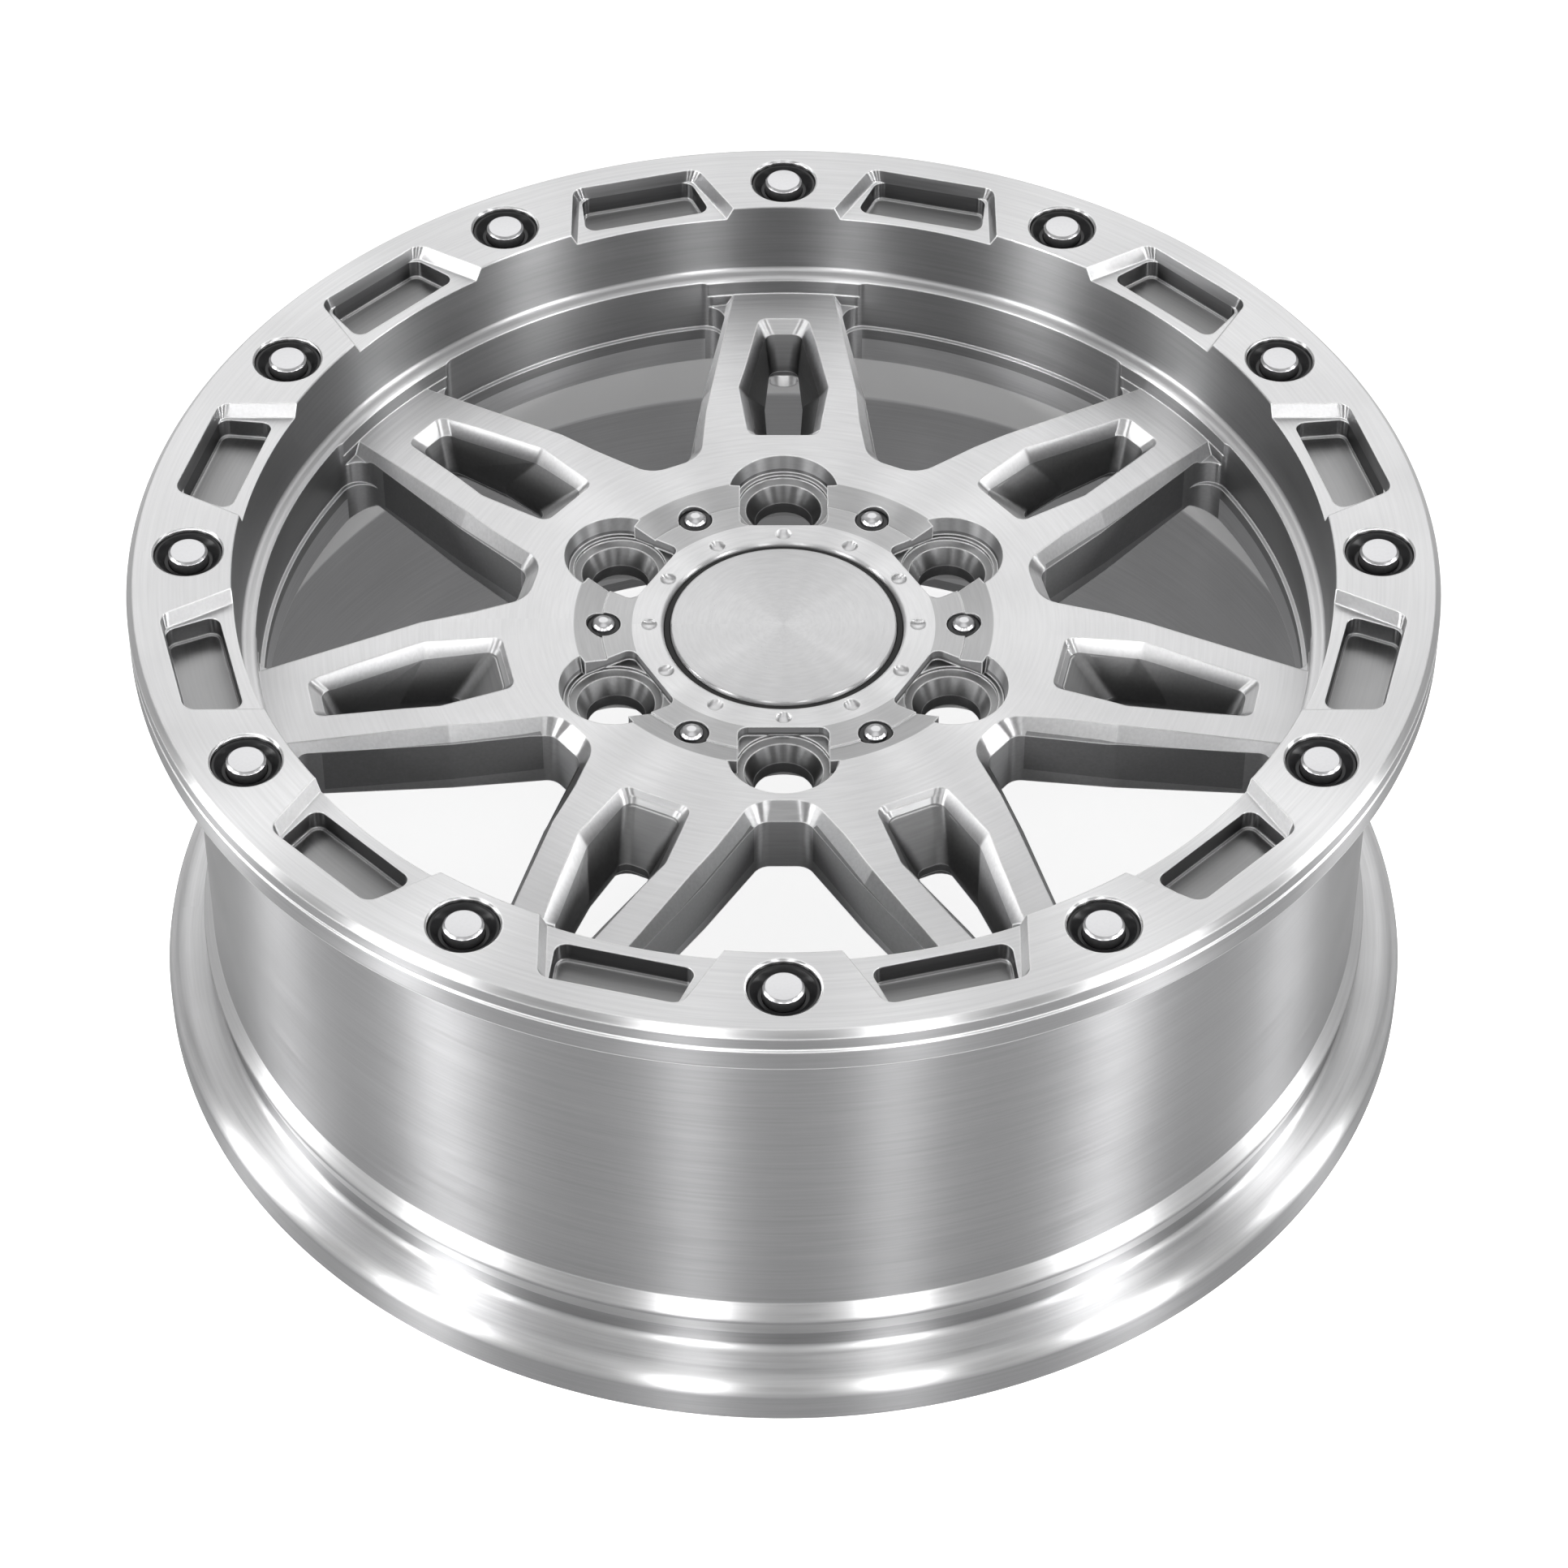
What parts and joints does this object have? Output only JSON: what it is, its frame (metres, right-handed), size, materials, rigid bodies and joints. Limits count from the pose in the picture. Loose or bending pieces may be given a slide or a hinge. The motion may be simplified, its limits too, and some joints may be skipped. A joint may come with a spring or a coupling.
{
  "type": "forged wheel",
  "caption": "One-piece forged car wheel with split spokes, an imitation bead-lock outer ring, a dished centre and a flat turned centre cap.",
  "frame": {"origin": "centre of the hub mounting pad, on the wheel's axis", "axes": "+Z out of the wheel's face, +Y towards the middle of one spoke, the wheel lying face up on its inboard flange"},
  "size_m": [0.4716, 0.4714, 0.2064],
  "materials": {
    "brushed_aluminium": "bare machined and finely brushed, clear and unpainted",
    "turned_aluminium": "fine turned rings, bright",
    "polished_steel": "bright turned end face",
    "black_anodised": "black, satin",
    "black_rubber": "black, matt",
    "spring_steel": "plain drawn wire"
  },
  "bodies": {
    "root": {"forged_wheel": "brushed_aluminium", "ring_bolts": "polished_steel", "ring_bolt_cups": "black_anodised", "hub_screws": "polished_steel", "hub_screw_washers": "black_anodised", "centre_cap": "turned_aluminium", "cap_seal": "black_rubber", "cap_spring_ring": "spring_steel"}
  },
  "joints": []
}
